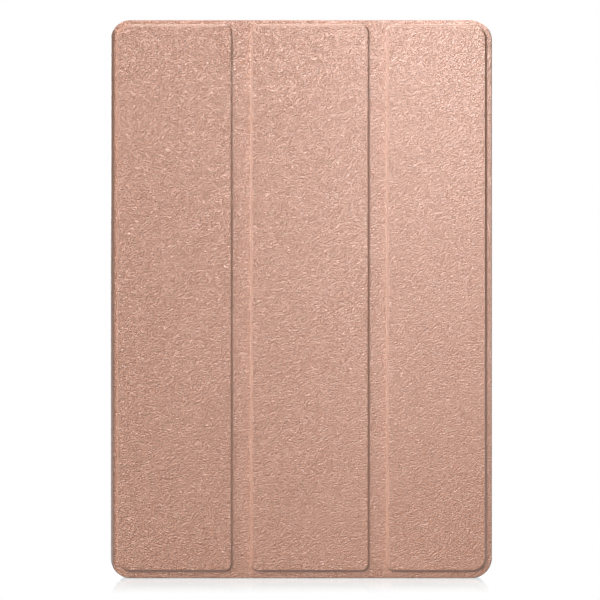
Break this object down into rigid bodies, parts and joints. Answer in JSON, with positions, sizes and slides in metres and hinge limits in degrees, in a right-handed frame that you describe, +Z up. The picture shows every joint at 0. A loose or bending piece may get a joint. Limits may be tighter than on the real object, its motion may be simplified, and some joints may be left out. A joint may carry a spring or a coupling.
{
  "type": "tablet computer in a folio cover",
  "caption": "Slim tablet computer clipped into a hard tray with a leather-look cover that folds in three, closed and upright.",
  "frame": {"origin": "middle of the bottom of the closed folio's box, on the surface that it stands on", "axes": "+Z up along the long side, +X from the spine to the free edge of the cover, +Y from the front to the back"},
  "size_m": [0.1722, 0.0122, 0.252],
  "materials": {
    "leather": "fine pebbled grain, satin, rose gold",
    "lining": "brushed microfibre",
    "stiffener": "plain sheet",
    "magnet": "nickel plated",
    "tray": "satin moulded",
    "housing": "bead blasted, anodised",
    "mid_frame": "cast, matt",
    "cover_glass": "polished, black border",
    "lens_glass": "coated",
    "display": "dark, switched off",
    "adhesive": "black foam tape",
    "flex": "polyimide film",
    "cell": "black pouch foil",
    "circuit_board": "solder mask",
    "shielding": "tinned sheet",
    "module": "black moulded",
    "graphite": "graphite film"
  },
  "bodies": {
    "tablet": {"tray": "tray", "back_skin": "leather", "rear_fold_skin": "leather", "rear_fold_lining": "lining", "rear_housing": "housing", "cover_glass": "cover_glass", "usb_port": "shielding", "camera_ring": "housing", "camera_lens": "lens_glass", "mid_frame": "mid_frame", "display_panel": "display", "display_adhesive": "adhesive", "display_flex": "flex", "battery_cell_left": "cell", "battery_cell_right": "cell", "battery_board": "circuit_board", "main_board": "circuit_board", "shield_cans": "shielding", "hall_sensor": "module", "sub_board": "circuit_board", "main_flex": "flex", "rear_camera": "module", "front_camera": "module", "light_sensor": "module", "speaker_top_left": "module", "speaker_top_right": "module", "speaker_bottom_left": "module", "speaker_bottom_right": "module", "speaker_meshes": "shielding", "microphones": "shielding", "antenna_wifi": "flex", "antenna_main": "flex", "button_flex": "flex", "card_reader": "shielding", "graphite_sheet": "graphite", "screws": "shielding"},
    "spine": {"spine_skin": "leather", "spine_board": "stiffener", "spine_lining": "lining", "front_fold_skin": "leather", "front_fold_lining": "lining"},
    "cover_left": {"panel_left_skin": "leather", "panel_left_board": "stiffener", "panel_left_lining": "lining"},
    "strip_left": {"fold_left_skin": "leather", "fold_left_lining": "lining"},
    "cover_mid": {"panel_mid_skin": "leather", "panel_mid_board": "stiffener", "panel_mid_lining": "lining"},
    "strip_right": {"fold_right_skin": "leather", "fold_right_lining": "lining"},
    "cover_right": {"panel_right_skin": "leather", "panel_right_board": "stiffener", "panel_right_lining": "lining", "closure_magnets": "magnet", "wake_magnet": "magnet"},
    "power_button": {"power_button": "housing"},
    "volume_rocker": {"volume_rocker": "housing"},
    "card_tray": {"card_tray": "housing"}
  },
  "joints": [
    {"name": "spine_swing", "type": "hinge", "parent": "tablet", "child": "spine", "pos_m": [-0.08499, 0.00499, 0.126], "axis": [0, 0, -1], "range_deg": [0, 175], "deforming": ["rear_fold_skin", "rear_fold_lining"]},
    {"name": "cover_swing", "type": "hinge", "parent": "spine", "child": "cover_left", "pos_m": [-0.08499, -0.00389, 0.126], "axis": [0, 0, -1], "range_deg": [0, 175], "deforming": ["front_fold_skin", "front_fold_lining"]},
    {"name": "fold_left", "type": "hinge", "parent": "cover_left", "child": "strip_left", "pos_m": [-0.02975, -0.0051, 0.126], "axis": [0, 0, 1], "range_deg": [-60, 0]},
    {"name": "fold_left_far", "type": "hinge", "parent": "strip_left", "child": "cover_mid", "pos_m": [-0.02435, -0.0051, 0.126], "axis": [0, 0, 1], "range_deg": [-60, 0]},
    {"name": "fold_right", "type": "hinge", "parent": "cover_mid", "child": "strip_right", "pos_m": [0.03195, -0.0051, 0.126], "axis": [0, 0, 1], "range_deg": [-90, 0]},
    {"name": "fold_right_far", "type": "hinge", "parent": "strip_right", "child": "cover_right", "pos_m": [0.03695, -0.0051, 0.126], "axis": [0, 0, 1], "range_deg": [-90, 0]},
    {"name": "power_press", "type": "slide", "parent": "tablet", "child": "power_button", "axis": [-1, 0, 0], "range_m": [0, 0.00035], "stiffness_N_per_m": 120, "springref_m": -0.001},
    {"name": "volume_rock", "type": "hinge", "parent": "tablet", "child": "volume_rocker", "pos_m": [0.08165, 0.00105, 0.184], "axis": [0, 1, 0], "range_deg": [-1.5, 1.5], "stiffness_Nm_per_rad": 0.01},
    {"name": "card_eject", "type": "slide", "parent": "tablet", "child": "card_tray", "axis": [1, 0, 0], "range_m": [0, 0.026]}
  ]
}
